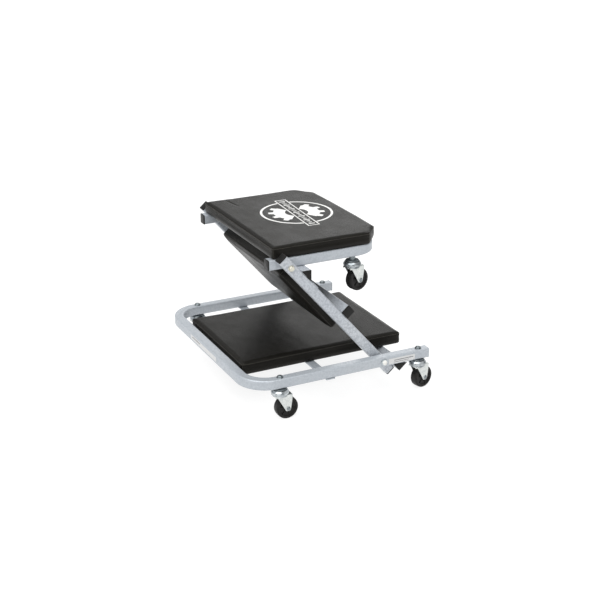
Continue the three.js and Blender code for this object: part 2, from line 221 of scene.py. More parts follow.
def zinc(name, colour_a, colour_b, roughness=0.26, patches=120):
    """Zinc plating: a bright metal with faint cloudy spangle and fine drawing marks. With its two
    colours far apart, the cloud becomes painted reflections, dark and bright patches in the colour.
    """
    n = Nodes(name)
    cloud = n.noise(patches, 4.0, 0.65)
    colour = n.mix(n.ramp(cloud, [(0.36, 0.0), (0.62, 1.0)]), colour_a, colour_b)
    rough = n.ramp(cloud, [(0.25, roughness - 0.06), (0.75, roughness + 0.14)])
    scratches = n.noise(1, 3.0, 0.6, n.stretched((900, 900, 120)))
    return n.finish(colour, rough, n.bump(scratches, 0.06 * MM, 0.5), Metallic=0.85)


def vinyl(name, highlight_gain=1.0):
    """Black upholstery vinyl: pebbled leather grain over faint wrinkles, with a soft shine.
    highlight_gain lifts its colour, a painted highlight where above 1.
    """
    n = Nodes(name)
    grain = n.cells(760, "DISTANCE_TO_EDGE")
    pores = n.noise(2600, 2.0)
    wrinkles = n.noise(1, 2.0, 0.5, n.stretched((20, 7, 20)))
    cloud = n.noise(14, 4.0, 0.6)
    creases = n.ramp(grain, [(0.0, 0.0), (0.16, 1.0)])
    tones = n.ramp(cloud, [(0.3, 0.0), (0.72, 1.0)])
    # highlight_gain scales both tones: above 1 the lighter colour is a painted highlight standing in
    # for shine
    dull = tuple(highlight_gain * v for v in (0.0082, 0.0076, 0.0064))
    pale = n.mix(tones, dull, tuple(highlight_gain * v for v in (0.0125, 0.0117, 0.0098)))
    # The grain's creases are coloured darker: painted shade in the hollows of the grain
    colour = n.mix(creases, (0.0045, 0.0043, 0.0038), pale)
    normal = n.bump(wrinkles, 0.9 * MM, 0.35)
    normal = n.bump(creases, 0.14 * MM, 0.45, normal)
    normal = n.bump(pores, 0.05 * MM, 0.5, normal)
    rough = n.ramp(cloud, [(0.3, 0.31), (0.7, 0.42)])
    return n.finish(colour, rough, normal, IOR=1.24, Specular_Tint=(1.0, 0.97, 0.90, 1.0))


def stained_board(name):
    """Plywood stained black: its long grain still shows, with a few dull knots."""
    n = Nodes(name)
    grain = n.noise(1, 6.0, 0.62, n.stretched((160, 7, 160)))
    knots = n.cells(13)
    stain = [(0.25, (0.012, 0.011, 0.010)), (0.55, (0.03, 0.027, 0.024)), (0.8, (0.05, 0.045, 0.04))]
    colour = n.ramp(grain, stain)
    knotted = n.mix(n.ramp(knots, [(0.02, 1.0), (0.09, 0.0)]), colour, (0.01, 0.009, 0.008))
    rough = n.ramp(grain, [(0.2, 0.82), (0.8, 0.66)])
    return n.finish(knotted, rough, n.bump(grain, 0.3 * MM, 0.6))


def moulded(name, low, high, roughness):
    """Moulded plastic: fine spark-eroded texture with faint flow clouding."""
    n = Nodes(name)
    spark = n.noise(1500, 2.0, 0.5)
    cloud = n.noise(45, 4.0, 0.6)
    colour = n.mix(n.ramp(cloud, [(0.3, 0.0), (0.75, 1.0)]), low, high)
    rough = n.ramp(cloud, [(0.3, roughness - 0.07), (0.7, roughness + 0.08)])
    return n.finish(colour, rough, n.bump(spark, 0.08 * MM, 0.6), IOR=1.32)


def tread(name):
    """A hard wheel's black moulding, scuffed paler and duller in patches."""
    n = Nodes(name)
    scuff = n.noise(95, 6.0, 0.7)
    dust = n.noise(420, 3.0, 0.6)
    rubbed = n.ramp(scuff, [(0.45, 0.0), (0.72, 1.0)])
    highlight_gain = n.mix(rubbed, (0.008, 0.0078, 0.0076), (0.022, 0.021, 0.019))
    colour = n.mix(n.ramp(dust, [(0.5, 0.0), (0.8, 0.3)]), highlight_gain, (0.045, 0.042, 0.038))
    rough = n.ramp(scuff, [(0.35, 0.34), (0.75, 0.62)])
    return n.finish(colour, rough, n.bump(scuff, 0.12 * MM, 0.5), IOR=1.3)


def paper_label(name, colour, faded):
    """A printed label's plain stock, with faint mottle."""
    n = Nodes(name)
    fibre = n.noise(700, 3.0)
    tone = n.mix(n.ramp(fibre, [(0.35, 0.0), (0.7, 1.0)]), colour, faded)
    rough = n.ramp(fibre, [(0.3, 0.42), (0.7, 0.56)])
    return n.finish(tone, rough, n.bump(fibre, 0.03 * MM, 0.4))


SILVER = powder_coat("powder_coat_smooth", (0.47, 0.50, 0.53), (0.39, 0.42, 0.45), 0.25 * MM)
HAMMERED = powder_coat("powder_coat_hammered", (0.55, 0.575, 0.605), (0.33, 0.355, 0.385), 0.7 * MM)
ZINC = zinc("zinc_bright", (0.70, 0.72, 0.70), (0.56, 0.59, 0.58), 0.24)
ZINC_BLUE = zinc("zinc_blue", (0.42, 0.46, 0.49), (0.54, 0.59, 0.61), 0.22)
ZINC_DARK = zinc("zinc_dark", (0.15, 0.17, 0.18), (0.25, 0.28, 0.29), 0.26)
# The drums' zinc: its near-black and bright patches are painted reflections over the plating's spangle
ZINC_PAINTED_REFLECTIONS = zinc("zinc_painted_reflections", (0.13, 0.15, 0.16), (0.66, 0.70, 0.72), 0.2, 42)
ZINC_YELLOW = zinc("zinc_yellow", (0.72, 0.69, 0.58), (0.52, 0.52, 0.47), 0.28)
VINYL = vinyl("vinyl_black")
# The seam ridges' vinyl is 4.5 times lighter: a painted highlight along every seam
VINYL_SEAM = vinyl("vinyl_seam_painted_highlight", 4.5)
BOARD = stained_board("board_stained")
PLASTIC = moulded("plastic_black", (0.005, 0.005, 0.0048), (0.010, 0.0098, 0.0094), 0.42)
PLASTIC_GREY = moulded("plastic_grey", (0.40, 0.43, 0.46), (0.47, 0.50, 0.53), 0.5)
PLASTIC_CREAM = moulded("plastic_cream", (0.76, 0.755, 0.72), (0.84, 0.835, 0.80), 0.4)
TREAD = tread("wheel_black")
LABEL = paper_label("label_white", (0.66, 0.66, 0.655), (0.56, 0.565, 0.57))
LABEL_BAND = paper_label("label_band", (0.16, 0.165, 0.17), (0.28, 0.285, 0.29))
PRINT = paper_label("print_white", (0.86, 0.86, 0.84), (0.70, 0.70, 0.68))

# ---------------------------------------------------------------- mesh helpers


def add_piece(name, mesh, material, body, smooth_angle=35, stands_for=()):
    """Puts a finished mesh in the scene, riding on a body, and standing for CAD nodes if named."""
    bm = bmesh.new()
    bm.from_mesh(mesh)
    bmesh.ops.remove_doubles(bm, verts=bm.verts, dist=1e-6)
    bmesh.ops.recalc_face_normals(bm, faces=bm.faces)
    bm.to_mesh(mesh)
    bm.free()
    mesh.shade_smooth()
    mesh.set_sharp_from_angle(angle=math.radians(smooth_angle))
    obj = bpy.data.objects.new(name, mesh)
    bpy.context.scene.collection.objects.link(obj)
    mesh.materials.clear()
    mesh.materials.append(material)
    if stands_for:
        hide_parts(*stands_for)
    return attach(obj, body)


def mesh_from(verts, faces, matrix=None):
    mesh = bpy.data.meshes.new("piece")
    mesh.from_pydata([tuple(v) for v in verts], [], faces)
    if matrix:
        mesh.transform(matrix)
    return mesh


def joined(meshes):
    """Several meshes as one, each kept as its own shell."""
    bm = bmesh.new()
    for mesh in meshes:
        bm.from_mesh(mesh)
        bpy.data.meshes.remove(mesh)
    whole = bpy.data.meshes.new("joined")
    bm.to_mesh(whole)
    bm.free()
    return whole


def lofted(rings, closed=False):
    """A skin over rings of equal length, with its two ends filled unless it closes on itself."""
    count = len(rings[0])
    verts = [p for ring in rings for p in ring]
    faces = []
    spans = len(rings) if closed else len(rings) - 1
    for i in range(spans):
        a = i * count
        b = ((i + 1) % len(rings)) * count
        for j in range(count):
            k = (j + 1) % count
            faces.append((a + j, a + k, b + k, b + j))
    if not closed:
        faces.append(tuple(range(count - 1, -1, -1)))
        faces.append(tuple(range(len(verts) - count, len(verts))))
    return verts, faces


def turned(profile, sides, axis="z"):
    """A solid of revolution about Z or Y, from (radius, height) points that end on the axis."""
    rings = []
    for radius, height in profile:
        ring = []
        for i in range(sides):
            angle = math.tau * i / sides
            u, v = max(radius, 1e-7) * math.cos(angle), max(radius, 1e-7) * math.sin(angle)
            ring.append((u, v, height) if axis == "z" else (u, -height, v))
        rings.append(ring)
    return mesh_from(*lofted(rings))


def rounded_corner(centre, radius, start, end, steps):
    points = []
    for i in range(steps + 1):
        angle = math.radians(start + (end - start) * i / steps)
        points.append((centre[0] + radius * math.cos(angle), centre[1] + radius * math.sin(angle)))
    return points


def square_section(side, corner, inset=0.0, hollow=0.0):
    """A rounded square as (u, v) points. hollow draws the middle of each flat in."""
    s = side / 2 - inset
    r = max(corner - inset, 0.3 * MM)
    c = s - r
    points = []
    for quarter in range(4):
        turn = Matrix.Rotation(math.radians(90 * quarter), 2)
        arc = rounded_corner((c, c), r, 0, 90, 4)
        flat = []
        for t in (0.06, 0.3, 0.5, 0.7, 0.94):
            dip = hollow * math.sin(math.pi * t) ** 2
            flat.append((c - 2 * c * t, s - dip))
        points += [tuple(turn @ Vector(p)) for p in arc + flat]
    return points


def bent_path(half_width, length, bend):
    """The centre line of a U of tube in plan, with how deep into a bend each point is."""
    radius = bend - HALF
    y = half_width - HALF
    points = []
    for i in range(9):
        points.append((length + (bend - length) * i / 8, -y, 0.0))
    for i in range(1, 20):
        a = math.radians(270 - 90 * i / 20)
        depth = math.sin(math.pi * i / 20)
        points.append((bend + radius * math.cos(a), -(half_width - bend) + radius * math.sin(a), depth))
    for i in range(9):
        points.append((HALF, (half_width - bend) * (i / 4 - 1), 0.0))
    for i in range(1, 20):
        a = math.radians(180 - 90 * i / 20)
        depth = math.sin(math.pi * i / 20)
        points.append((bend + radius * math.cos(a), (half_width - bend) + radius * math.sin(a), depth))
    for i in range(9):
        points.append((bend + (length - bend) * i / 8, y, 0.0))
    return points


def bent_tube_mesh(half_width, length, bend, matrix):
    path = bent_path(half_width, length, bend)
    rings = []
    for i, (x, y, depth) in enumerate(path):
        before = Vector(path[max(i - 1, 0)][:2])
        after = Vector(path[min(i + 1, len(path) - 1)][:2])
        along = (after - before).normalized()
        across = Vector((along.y, -along.x))
        section = square_section(TUBE, TUBE_CORNER, 0.0, BEND_HOLLOW * depth)
        rings.append([(x + across.x * u, y + across.y * u, v) for u, v in section])
    return mesh_from(*lofted(rings), matrix)


def straight_tube_mesh(axis, start, end, matrix, edge=1.0 * MM):
    """A square tube along local X or Y, closed by plates with softly ground edges."""
    stations = [(start, edge), (start + 0.3 * edge, 0.3 * edge), (start + edge, 0.0)]
    stations += [(start + (end - start) * t, 0.0) for t in (0.25, 0.5, 0.75)]
    stations += [(end - edge, 0.0), (end - 0.3 * edge, 0.3 * edge), (end, edge)]
    rings = []
    for place, inset in stations:
        section = square_section(TUBE, TUBE_CORNER, inset)
        if axis == "x":
            rings.append([(place, u, v) for u, v in section])
        else:
            rings.append([(u, place, v) for u, v in section])
    return mesh_from(*lofted(rings), matrix)


def bevelled_copy(node, width, material, body, segments=2, smooth_angle=40):
    """A CAD node's own shape with its edges softened, standing for that node."""
    bm = bmesh.new()
    bm.from_mesh(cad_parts[node].data)
    bmesh.ops.remove_doubles(bm, verts=bm.verts, dist=2e-6)
    bmesh.ops.dissolve_limit(bm, angle_limit=math.radians(1.5), verts=bm.verts, edges=bm.edges)
    sharp = [e for e in bm.edges if len(e.link_faces) == 2 and e.calc_face_angle(0) > math.radians(25)]
    bmesh.ops.bevel(
        bm, geom=sharp, offset=width, segments=segments, profile=0.5,
        affect="EDGES", clamp_overlap=True,
    )
    mesh = bpy.data.meshes.new(node + "_fine")
    bm.to_mesh(mesh)
    bm.free()
    return add_piece(node + "_fine", mesh, material, body, smooth_angle, (node,))


def weld_bead(start, end, radius, seed):
    """A rippled weld bead from one point to another."""
    start, end = Vector(start), Vector(end)
    along = end - start
    steps = max(8, int(along.length / (1.1 * MM)))
    direction = along.normalized()
    side = direction.orthogonal().normalized()
    up = direction.cross(side)
    rings = []
    for i in range(steps + 1):
        t = i / steps
        taper = min(1.0, 6 * t + 0.25, 6 * (1 - t) + 0.25)
        wobble = 0.16 * noise.noise(Vector((seed * 3.1, t * 9, 0)))
        r = radius * taper * (1 + 0.14 * math.sin(i * 2.1) + wobble)
        centre = start + along * t
        ring = []
        for j in range(8):
            a = math.tau * j / 8
            ring.append(centre + side * (r * math.cos(a)) + up * (r * math.sin(a)))
        rings.append(ring)
    return mesh_from(*lofted(rings))


# ---------------------------------------------------------------- frames


def build_frames():
    base_tube = bent_tube_mesh(BASE["half"], BASE["length"], BASE["bend"], PLACE["base"])
    add_piece("base_tube_fine", base_tube, SILVER, "base", 30, ("base_frame_tube",))
    flip = Matrix.Translation((SEAT["right"], 0, 0)) @ Matrix.Rotation(math.pi, 4, "Z")
    length = SEAT["right"] - SEAT["left"]
    seat_tube = bent_tube_mesh(SEAT["half"], length, SEAT["bend"], PLACE["seat"] @ flip)
    add_piece("seat_tube_fine", seat_tube, SILVER, "seat", 30, ("seat_frame_tube",))
    for label, side in SIDES:
        shift = Matrix.Translation((0, side * (ARM["outer"] - HALF), 0))
        arm = straight_tube_mesh("x", -ARM["tail"], ARM["span"] + ARM["nose"], PLACE["middle"] @ shift)
        add_piece(f"arm_{label}_fine", arm, HAMMERED, "middle", 30, (f"arm_{label}",))
        for node, body in (
            (f"base_rail_cap_{label}", "base"),
            (f"arm_lower_cap_{label}", "middle"),
            (f"arm_upper_cap_{label}", "middle"),
            (f"middle_crossbar_cap_{label}", "middle"),
            (f"seat_rail_cap_{label}", "seat"),
        ):
            material = PLASTIC_GREY if body == "base" else PLASTIC
            bevelled_copy(node, 0.7 * MM, material, body, 2, 50)
        bevelled_copy(f"middle_stop_plug_{label}", 0.5 * MM, PLASTIC, "middle")
        bevelled_copy(f"seat_stop_plug_{label}", 0.5 * MM, PLASTIC, "seat")
    bevelled_copy("middle_stop_angle", 0.8 * MM, HAMMERED, "middle", 3)
    bevelled_copy("seat_stop_angle", 0.8 * MM, HAMMERED, "seat", 3)
    bevelled_copy("base_pad_strap", 0.8 * MM, SILVER, "base", 3)
    bevelled_copy("middle_pad_strap", 0.8 * MM, HAMMERED, "middle", 3)
    end = ARM["outer"] - 2.3 * MM
    middle = Matrix.Translation((CROSSBAR_X, 0, -TUBE - GAP))
    crossbar = straight_tube_mesh("y", -end, end, PLACE["middle"] @ middle, 0.4 * MM)
    add_piece("crossbar_fine", crossbar, HAMMERED, "middle", 30, ("middle_crossbar",))


def build_welds():
    """Beads where the cross pieces meet the rails and arms."""
    beads = {"base": [], "middle": [], "seat": []}

    def bead(body, start, end, radius=1.5 * MM):
        seed = sum(len(found) for found in beads.values())
        mesh = weld_bead(start, end, radius, seed)
        mesh.transform(PLACE[body])
        beads[body].append(mesh)

    under = -HALF - GAP / 2
    for side in (-1, 1):
        inner = side * (BASE["half"] - TUBE + 1 * MM)
        outer = side * (BASE["half"] - 2 * MM)
        for x in STRAP_EDGES:
            bead("base", (x, inner, under), (x, outer, under), 1.2 * MM)
        arm_in = side * (ARM["outer"] - TUBE + 1 * MM)
        arm_out = side * (ARM["outer"] - 3 * MM)
        strap_end = side * 234 * MM
        for edges, stop in ((CROSSBAR_EDGES, arm_out), (MIDDLE_STRAP_EDGES, strap_end)):
            for x in edges:
                bead("middle", (x, arm_in, under), (x, stop, under))
        for x in ARM_STOP_EDGES:
            bead("middle", (x, arm_in, under), (x, arm_out, under))
        seat_in = side * (SEAT["half"] - TUBE + 1 * MM)
        seat_out = side * (SEAT["half"] - 1 * MM)
        for x in SEAT_STOP_EDGES:
            bead("seat", (x, seat_in, under), (x, seat_out, under))
    for body, meshes in beads.items():
        material = SILVER if body == "base" else HAMMERED
        add_piece(f"{body}_welds", joined(meshes), material, body, 60)


# ---------------------------------------------------------------- pivots


def hexagon_rings(levels, across):
    """Rings of a six-sided head from (distance from the centre as a share, height) pairs."""
    rings = []
    for share, height in levels:
        ring = []
        for i in range(48):
            angle = math.tau * i / 48
            flat = across * math.cos(math.pi / 6)
            within = (angle + math.pi / 6) % (math.pi / 3) - math.pi / 6
            hexagon = flat / math.cos(within)
            radius = min(hexagon, across * 0.985) * share
            ring.append((radius * math.cos(angle), radius * math.sin(angle), height))
        rings.append(ring)
    return rings


def hexagon_head(across, height, z0):
    """A bolt head with its top edge turned down, height in millimetres above z0."""
    levels = [(0.94, 0), (1.0, 0.5), (1.0, height - 1.1), (0.9, height - 0.25)]
    levels += [(0.72, height), (0.3, height)]
    rings = hexagon_rings([(share, z0 + z * MM) for share, z in levels], across)
    return mesh_from(*lofted(rings))


def build_pivots():
    for label, side in SIDES:
        outward = Matrix.Rotation(side * -math.pi / 2, 4, "X")
        build_lower_pivot(label, side, outward)
        build_upper_pivot(label, side, outward)


def shank_and_nut(reach, depth):
    """The bolt's shank and its lock nut, along -Z from the head's seat."""
    shank = turned([(0, 1 * MM), (5 * MM, 1 * MM), (5 * MM, -reach), (0, -reach)], 32)
    low = -reach + 0.3 * MM
    levels = [(0.9, low), (1, low + 0.7 * MM), (1, low + depth), (0.92, low + depth + 0.5 * MM)]
    nut = mesh_from(*lofted(hexagon_rings(levels, 8.2 * MM)))
    return [shank, nut]


def build_lower_pivot(label, side, outward):
    seat = BASE["half"] + GAP
    place = PLACE["base"] @ Matrix.Translation((PIVOT_X, side * seat, 0)) @ outward
    reach = seat - (ARM["outer"] - TUBE - 7.2 * MM)
    washer = turned([(0, 0), (8.6, 0), (9.1, 0.4), (9.1, 1.1), (8.6, 1.6), (6.8, 1.9), (0, 1.9)], 48)
    washer.transform(Matrix.Scale(MM, 4))
    rim = [(8.8, -28.2), (9.1, -27.9), (9.1, -26.2), (8.8, -25.9)]
    inner_washer = turned([(0, -28.2), *rim, (0, -25.9)], 48)
    inner_washer.transform(Matrix.Scale(MM, 4))
    bolt = joined([washer, inner_washer, *shank_and_nut(reach, 5.4 * MM)])
    bolt.transform(place)
    add_piece(f"lower_bolt_{label}_fine", bolt, ZINC_BLUE, "base", 40, (f"lower_pivot_bolt_{label}",))
    dome = [(5.6, 5.6), (4.6, 6.5), (3.0, 7.0), (1.3, 7.2), (0, 7.2)]
    cap = turned([(0, 1.7), (6.1, 1.7), (6.2, 2.4), (6.1, 4.4), *dome], 40)
    cap.transform(place @ Matrix.Scale(MM, 4))
    add_piece(f"lower_bolt_cover_{label}", cap, PLASTIC_CREAM, "base", 50)


def build_upper_pivot(label, side, outward):
    seat = ARM["outer"] + GAP
    place = PLACE["middle"] @ Matrix.Translation((ARM["span"], side * seat, 0)) @ outward
    reach = seat - (SEAT["half"] - TUBE - 7.2 * MM)
    washer = turned([(0, 0), (7.4, 0), (7.8, 0.4), (7.8, 1.0), (7.4, 1.3), (0, 1.3)], 48)
    washer.transform(Matrix.Scale(MM, 4))
    head = hexagon_head(7.2 * MM, 5.0, 1.2 * MM)
    bolt = joined([washer, head, *shank_and_nut(reach, 5.4 * MM)])
    bolt.transform(place)
    stands_for = (f"upper_pivot_bolt_{label}",)
    add_piece(f"upper_bolt_{label}_fine", bolt, ZINC_YELLOW, "middle", 40, stands_for)
    bevelled_copy(f"upper_pivot_spacer_{label}", 0.25 * MM, ZINC_BLUE, "middle", 1, 50)


# ---------------------------------------------------------------- casters


def smooth_outline(points, rounds):
    """A closed outline whose corners are rounded, each by its own radius."""
    out = []
    count = len(points)
    for i, (point, radius) in enumerate(zip(points, rounds)):
        here = Vector(point)
        before = (Vector(points[i - 1]) - here).normalized()
        after = (Vector(points[(i + 1) % count]) - here).normalized()
        if radius <= 0:
            out.append(here)
            continue
        half_angle = before.angle(after) / 2
        reach = radius / math.tan(half_angle)
        start, end = here + before * reach, here + after * reach
        for j in range(6):
            t = j / 5
            out.append((1 - t) ** 2 * start + 2 * t * (1 - t) * here + t * t * end)
    return out


def plate(outline, y0, y1, edge):
    """A flat plate in the XZ plane with softened rims."""
    centre = sum(outline, Vector((0, 0))) / len(outline)
    rings = []
    thick = y1 - y0
    rim = edge / abs(thick)
    for share, inset in ((0.0, edge), (rim, 0.0), (1 - rim, 0.0), (1.0, edge)):
        ring = []
        for p in outline:
            pulled = p + (centre - p).normalized() * inset
            ring.append((pulled.x, y0 + thick * share, pulled.y))
        rings.append(ring)
    return mesh_from(*lofted(rings))


def caster_drum_mesh():
    """The fork's ball-race cup, rolled from sheet, with a groove round its waist."""
    drum = turned(
        [
            (0, 63.0), (17.8, 63.0), (19.0, 63.6), (19.4, 65.4), (20.0, 67.4), (21.6, 69.4),
            (22.4, 71.4), (22.3, 73.6), (21.2, 75.6), (19.6, 77.2), (19.0, 78.6), (18.3, 79.3),
            (17.5, 79.1), (16.9, 77.4),
            (15.6, 76.6), (13.4, 77.8), (9.0, 77.9), (0, 77.9),
        ],
        56,
    )
    drum.transform(Matrix.Scale(MM, 4))
    return drum


def caster_fork_mesh():
    """Pressed steel: a crown plate and a tapering leg each side of the wheel."""
    corners = [(-17.5, 66), (-16.5, 63.3), (-11.8, 61.4), (10.1, 22.5)]
    corners += [(22.1, 22.5), (26.4, 48), (27.8, 66)]
    rounds = [1.5, 2, 5, 6, 6, 20, 1.5]
    outline = [Vector(p) * MM for p in smooth_outline(corners, rounds)]
    inner, outer = 12.4 * MM, 14.6 * MM
    parts = [crown_mesh()]
    for side in (-1, 1):
        parts.append(plate(outline, side * inner, side * outer, 0.5 * MM))
        boss = turned([(0, 14.2), (6.2, 14.2), (6.4, 14.7), (5.8, 15.1), (0, 15.1)], 32, "y")
        at_axle = Matrix.Translation((TRAIL, 0, WHEEL_R))
        boss.transform(at_axle @ Matrix.Scale(-side, 4, (0, 1, 0)) @ Matrix.Scale(MM, 4))
        parts.append(boss)
    return joined(parts)


def crown_mesh():
    """The fork's bridge over the wheel, its two long edges rolled down into the legs."""
    rings = []
    for x, share in ((-17.4, 0.96), (-16.8, 1.0), (0, 1.0), (26.8, 1.0), (27.6, 0.96)):
        ring = []
        for side in (1, -1):
            for i in range(7):
                a = math.radians(90 * i / 6) if side == 1 else math.radians(90 + 90 * i / 6)
                roll = 4.4 * share
                ring.append((x, side * 10.2 + roll * math.cos(a), 61.6 + roll * math.sin(a)))
        ring += [(x, -11.8, 61.6), (x, -10.6, 62.9), (x, 10.6, 62.9), (x, 11.8, 61.6)]
        rings.append([Vector(p) * MM for p in ring])
    return mesh_from(*lofted(rings))


def caster_wheel_mesh():
    half_profile = [
        (0, -12.0), (7.6, -12.0), (8.4, -11.5), (8.6, -8.6), (10.5, -8.0), (19.4, -8.0),
        (20.8, -8.8), (21.4, -10.4), (22.6, -11.0), (26.0, -10.9), (27.6, -10.2), (28.5, -8.8),
        (28.95, -6.4), (29.0, -1.2), (28.85, -0.3),
    ]
    profile = half_profile + [(r, -y) for r, y in reversed(half_profile)]
    wheel = turned(profile, 72, "y")
    wheel.transform(Matrix.Scale(MM, 4))
    parts = [wheel]
    for side in (-1, 1):
        for i in range(6):
            spoke = plate(
                [Vector(p) * MM for p in ((8, -1.1), (20.8, -0.8), (20.8, 0.8), (8, 1.1))],
                side * 7.6 * MM, side * 9.8 * MM, 0.3 * MM,
            )
            spoke.transform(Matrix.Rotation(math.radians(60 * i + 12), 4, "Y"))
            parts.append(spoke)
    return joined(parts)


def caster_axle_mesh():
    profile = [(0, -17.0), (2.6, -16.9), (4.4, -16.4), (5.2, -15.6), (5.3, -14.9), (3.9, -14.8)]
    profile += [(r, -z) for r, z in reversed(profile)]
    axle = turned(profile, 32, "y")
    axle.transform(Matrix.Scale(MM, 4))
    return axle


def caster_stem_mesh(stand_off, has_nut):
    """The stem with its fixed race, and with a low flange nut on top if it goes through its rail."""
    tube_bottom = CASTER_TOP / MM + stand_off / MM
    low = [
        (0, 59.6), (5.4, 59.8), (6.9, 60.6), (7.1, 62.4), (4.7, 62.6), (4.7, 79.3), (14.6, 79.5),
        (16.6, 80.0), (17.0, 81.0), (16.4, 82.1), (13.6, 82.9), (10.4, 83.5), (7.8, 83.9),
    ]
    collar = [(7.8, 83.9), (7.8, tube_bottom - 0.4)] if stand_off > 2 * MM else []
    top = tube_bottom + (TUBE / MM + 0.8 if has_nut else 17.5)
    shank = [(5.0, tube_bottom - 0.3 if collar else 84), (5.0, top), (0, top)]
    stem = turned(low + collar + shank, 48)
    stem.transform(Matrix.Scale(MM, 4))
    if not has_nut:
        return stem
    seat = tube_bottom + TUBE / MM + 0.3
    flange = turned([(0, seat), (8.2, seat), (8.5, seat + 0.5), (7.6, seat + 1.3), (0, seat + 1.3)], 48)
    flange.transform(Matrix.Scale(MM, 4))
    levels = [(0.95, 1.0), (1.0, 1.4), (1.0, 3.6), (0.9, 4.3), (0.74, 4.5)]
    dome = [(0.66, 5.1), (0.5, 5.6), (0.3, 5.9), (0.02, 6.0)]
    rings = hexagon_rings([(share, (seat + z) * MM) for share, z in levels + dome], 7.4 * MM)
    return joined([stem, flange, mesh_from(*lofted(rings))])


def build_casters():
    for name, (body, x, y, swivel) in CASTERS.items():
        stand_off = SEAT_STAND_OFF if body == "seat" else GAP
        down = -HALF - stand_off - CASTER_TOP
        still = PLACE[body] @ Matrix.Translation((x, y, down))
        turned_by = still @ Matrix.Rotation(math.radians(swivel), 4, "Z")
        at_axle = turned_by @ Matrix.Translation((TRAIL, 0, WHEEL_R))
        pieces = (
            ("stem", caster_stem_mesh(stand_off, body == "base"), still, ZINC_DARK, body),
            ("fork", caster_fork_mesh(), turned_by, ZINC, name + "_swivel"),
            # the drum wears the zinc with painted reflections: dark and bright patches in its colour
            ("drum", caster_drum_mesh(), turned_by, ZINC_PAINTED_REFLECTIONS, name + "_swivel"),
            ("axle", caster_axle_mesh(), at_axle, ZINC_DARK, name + "_swivel"),
            ("wheel", caster_wheel_mesh(), at_axle, TREAD, name + "_wheel"),
        )
        for part, mesh, place, material, rides_on in pieces:
            mesh.transform(place)
            stands_for = () if part == "drum" else (f"{name}_{part}",)
            add_piece(f"{name}_{part}_fine", mesh, material, rides_on, 38, stands_for)


# ---------------------------------------------------------------- pads


def pad_outline(pad, inset, arc_steps=6, corner=5):
    """The pad's plan as a list of points, counter-clockwise from its lower left corner."""
    left, right = pad["x"][0] + inset, pad["x"][1] - inset
    edge = pad["half"] - inset
    r = max(corner - inset * 0.4, 2.0)
    points = rounded_corner((left + r, -edge + r), r, 180, 270, arc_steps)
    if pad["clip"]:
        run, rise = pad["clip"]
        clipped = [(right - run, -edge), (right - 3, -edge + rise)]
        clipped += [(right - 3, edge - rise), (right - run, edge)]
        front = [(right, -edge / 3), (right, edge / 3)]
        path = [(left + 60, -edge), *clipped[:2], *front, *clipped[2:], (left + 60, edge)]
        points += smooth_outline(path, [0, 20, 10, 0, 0, 10, 20, 0])
    else:
        points += rounded_corner((right - r, -edge + r), r, 270, 360, arc_steps)
        points += rounded_corner((right - r, edge - r), r, 0, 90, arc_steps)
    points += rounded_corner((left + r, edge - r), r, 90, 180, arc_steps)
    return [Vector(p) for p in points]


def pad_start_mesh(pad):
    """The pad before its cover is blown up, with a crisp edge along the top seam."""
    low, high = pad["z"]
    levels = [(1.8, low), (0.6, low + 1.2), (0.4, high - 4.2), (1.6, high - 1.9), (4.2, high - 0.7)]
    rings = [[(p.x * MM, p.y * MM, z * MM) for p in pad_outline(pad, inset)] for inset, z in levels]
    return mesh_from(*lofted(rings))


def simulate(obj, pinned, pressure, cap, scene):
    """Blows the piece up as cloth, and keeps each point within cap of where it began."""
    group = obj.vertex_groups.new(name="held")
    group.add([v.index for v in obj.data.vertices if pinned(v.co)], 1.0, "REPLACE")
    cloth = obj.modifiers.new("cloth", "CLOTH")
    settings = cloth.settings
    settings.quality = 5
    settings.mass = 0.4
    settings.tension_stiffness = 18
    settings.compression_stiffness = 18
    settings.shear_stiffness = 6
    settings.bending_stiffness = 1.2
    settings.use_pressure = True
    settings.uniform_pressure_force = pressure
    settings.vertex_group_mass = "held"
    settings.effector_weights.gravity = 0
    cloth.collision_settings.use_collision = False
    before = [v.co.copy() for v in obj.data.vertices]
    for number in range(1, SWELL_FRAMES + 1):
        scene.frame_set(number)
    evaluated = obj.evaluated_get(bpy.context.evaluated_depsgraph_get())
    after = [v.co.copy() for v in evaluated.data.vertices]
    obj.modifiers.clear()
    for vertex, old, new in zip(obj.data.vertices, before, after):
        move = new - old
        if move.length > cap:
            move *= cap / move.length
        vertex.co = old + move
    obj.vertex_groups.clear()
    scene.frame_set(1)


def apply_modifier(obj, kind, **settings):
    modifier = obj.modifiers.new(kind, kind)
    for key, value in settings.items():
        setattr(modifier, key, value)
    depsgraph = bpy.context.evaluated_depsgraph_get()
    mesh = bpy.data.meshes.new_from_object(obj.evaluated_get(depsgraph))
    obj.modifiers.clear()
    old = obj.data
    obj.data = mesh
    bpy.data.meshes.remove(old)


